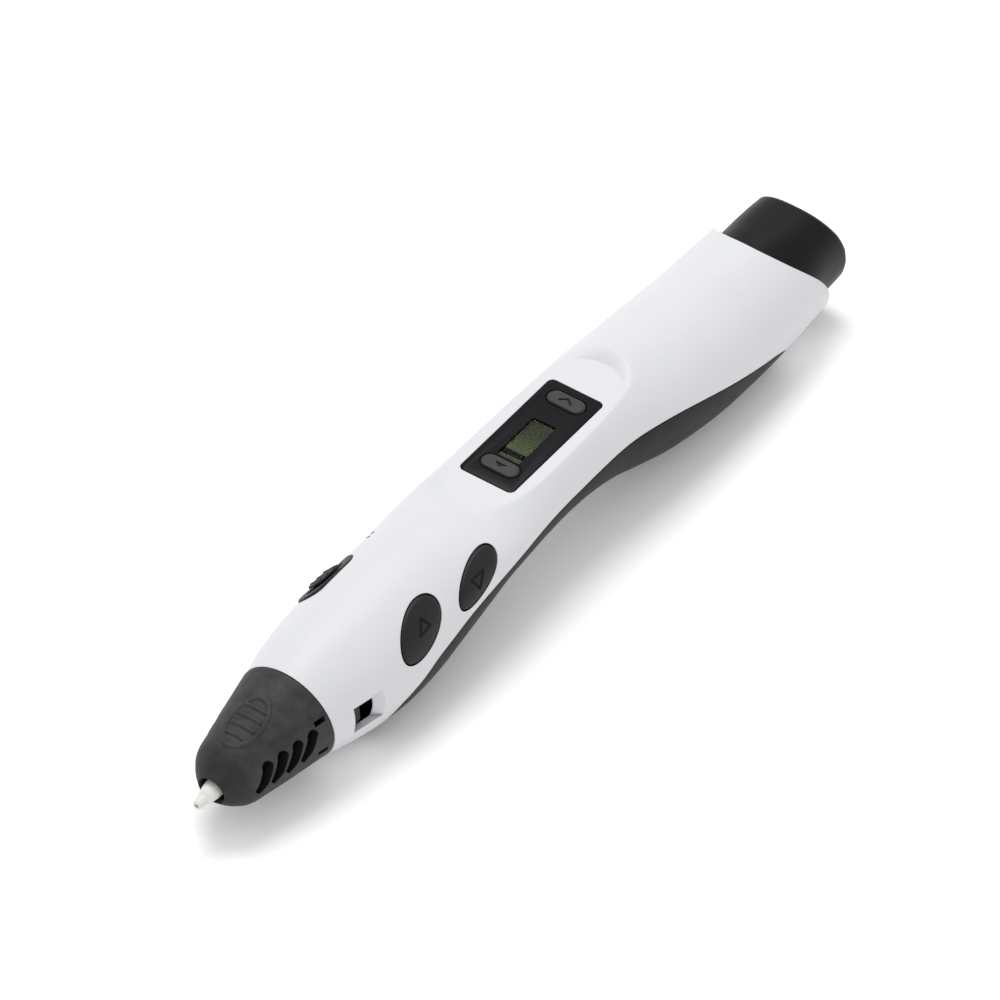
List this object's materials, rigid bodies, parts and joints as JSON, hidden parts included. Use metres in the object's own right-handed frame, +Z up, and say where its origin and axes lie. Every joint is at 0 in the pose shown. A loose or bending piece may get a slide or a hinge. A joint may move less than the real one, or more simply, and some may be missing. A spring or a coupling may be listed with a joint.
{
  "type": "three d pen",
  "caption": "Hand-held pen that melts plastic filament: waisted white and black shell, vented nose, ceramic tip, top display, side buttons and speed slider.",
  "frame": {"origin": "under the middle of the pen, on the plane it lies on", "axes": "+X along the pen from the nozzle to the tail, -Y the side with the two oval buttons, +Z up out of the display"},
  "size_m": [0.1771, 0.0254, 0.0274],
  "materials": {
    "white_shell": "satin",
    "black_shell": "satin",
    "cap_plastic": "fine mottled matte",
    "rubbery_black": "soft-touch",
    "gloss_black": "gloss",
    "button_grey": "satin",
    "lens": "clear window",
    "lcd": "reflective display",
    "ceramic": "unglazed ceramic",
    "steel": "machined",
    "brass": "machined",
    "circuit_board": "solder mask",
    "inner_plastic": "moulded",
    "ivory_plastic": "moulded",
    "tubing": "waxy"
  },
  "bodies": {
    "pen_body": {"upper_shell": "white_shell", "lower_shell": "black_shell", "nose_cap": "cap_plastic", "tail_cap": "black_shell", "ceramic_nozzle": "ceramic", "melt_tube": "brass", "heater_sleeve": "ivory_plastic", "thermistor_bead": "ivory_plastic", "hot_end_holder": "ivory_plastic", "display_bezel": "gloss_black", "display_lens": "lens", "lcd_module": "lcd", "main_board": "circuit_board", "switch_up": "inner_plastic", "switch_down": "inner_plastic", "side_board": "circuit_board", "switch_feed": "inner_plastic", "switch_retract": "inner_plastic", "slider_track": "rubbery_black", "slide_pot": "steel", "feed_frame": "ivory_plastic", "motor_gearbox": "brass", "motor_can": "steel", "idler_pivot": "steel", "idler_spring": "steel", "guide_tube": "tubing", "entry_tube": "tubing", "power_jack": "inner_plastic", "jack_pin": "steel", "inlet_bush": "brass", "screw_front": "steel", "screw_rear": "steel"},
    "feed_key": {"feed_button": "rubbery_black", "plunger_feed": "inner_plastic"},
    "retract_key": {"retract_button": "rubbery_black", "plunger_retract": "inner_plastic"},
    "up_key": {"temp_up_button": "button_grey", "plunger_up": "inner_plastic"},
    "down_key": {"temp_down_button": "button_grey", "plunger_down": "inner_plastic"},
    "speed_slide": {"speed_knob": "rubbery_black", "slide_wiper": "inner_plastic"},
    "feed_drive": {"face_gear": "brass", "feed_shaft": "steel", "feed_wheel": "steel"},
    "motor_output": {"motor_pinion": "steel"},
    "pressure_arm": {"idler_arm": "inner_plastic", "idler_axle": "steel"},
    "pressure_roller": {"idler_roller": "steel"}
  },
  "joints": [
    {"name": "feed_press", "type": "slide", "parent": "pen_body", "child": "feed_key", "axis": [0, 0.8813, -0.4726], "range_m": [0, 0.0005], "stiffness_N_per_m": 2500, "springref_m": -0.0003},
    {"name": "retract_press", "type": "slide", "parent": "pen_body", "child": "retract_key", "axis": [0, 0.8813, -0.4726], "range_m": [0, 0.0005], "stiffness_N_per_m": 2500, "springref_m": -0.0003},
    {"name": "temp_up_press", "type": "slide", "parent": "pen_body", "child": "up_key", "axis": [0.0393, 0, -0.9992], "range_m": [0, 0.0004], "stiffness_N_per_m": 2500, "springref_m": -0.0003},
    {"name": "temp_down_press", "type": "slide", "parent": "pen_body", "child": "down_key", "axis": [0.0393, 0, -0.9992], "range_m": [0, 0.0004], "stiffness_N_per_m": 2500, "springref_m": -0.0003},
    {"name": "speed_set", "type": "slide", "parent": "pen_body", "child": "speed_slide", "axis": [1, 0, 0], "range_m": [-0.003, 0.003]},
    {"name": "feed_turn", "type": "hinge", "parent": "pen_body", "child": "feed_drive", "pos_m": [0.0313, -0.0032, 0.01595], "axis": [0, 0, 1], "continuous": true},
    {"name": "motor_turn", "type": "hinge", "parent": "pen_body", "child": "motor_output", "pos_m": [0.0355, -0.0032, 0.00865], "axis": [1, 0, 0], "continuous": true},
    {"name": "pressure_swing", "type": "hinge", "parent": "pen_body", "child": "pressure_arm", "pos_m": [0.0376, 0.0063, 0.01595], "axis": [0, 0, 1], "range_deg": [-6, 0], "stiffness_Nm_per_rad": 0.5, "springref_deg": 2.86, "deforming": ["idler_spring"]},
    {"name": "roller_turn", "type": "hinge", "parent": "pressure_arm", "child": "pressure_roller", "pos_m": [0.0313, 0.0044, 0.01595], "axis": [0, 0, 1], "continuous": true}
  ],
  "couplings": [
    {"joint": "motor_turn", "follows": "feed_turn", "ratio": -2},
    {"joint": "roller_turn", "follows": "feed_turn", "ratio": -1.1}
  ]
}
